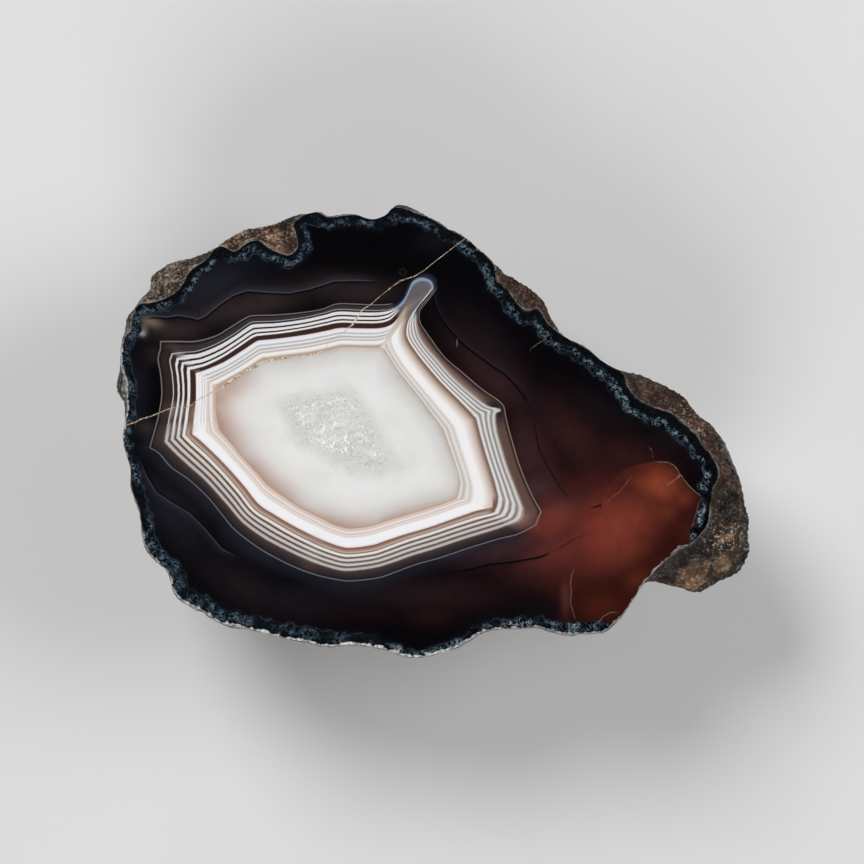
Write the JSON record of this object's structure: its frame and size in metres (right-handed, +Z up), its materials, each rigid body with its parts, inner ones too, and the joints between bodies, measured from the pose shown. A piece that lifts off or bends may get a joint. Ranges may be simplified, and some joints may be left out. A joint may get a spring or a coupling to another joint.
{
  "type": "botswana agate",
  "caption": "Halved agate nodule with a level polished face of concentric bands and a rough, rounded underside that rests on a small flat spot.",
  "frame": {"origin": "under the middle of the stone's outline, on the surface that it rests on", "axes": "+Z up, square to the polished face; +X along the stone's length towards its tapering end; +Y across it, towards the side with the lobed rind"},
  "size_m": [0.0772, 0.0552, 0.025],
  "materials": {
    "agate": "mirror-polished face, dull rough rind"
  },
  "bodies": {
    "root": {"agate_half": "agate"}
  },
  "joints": []
}
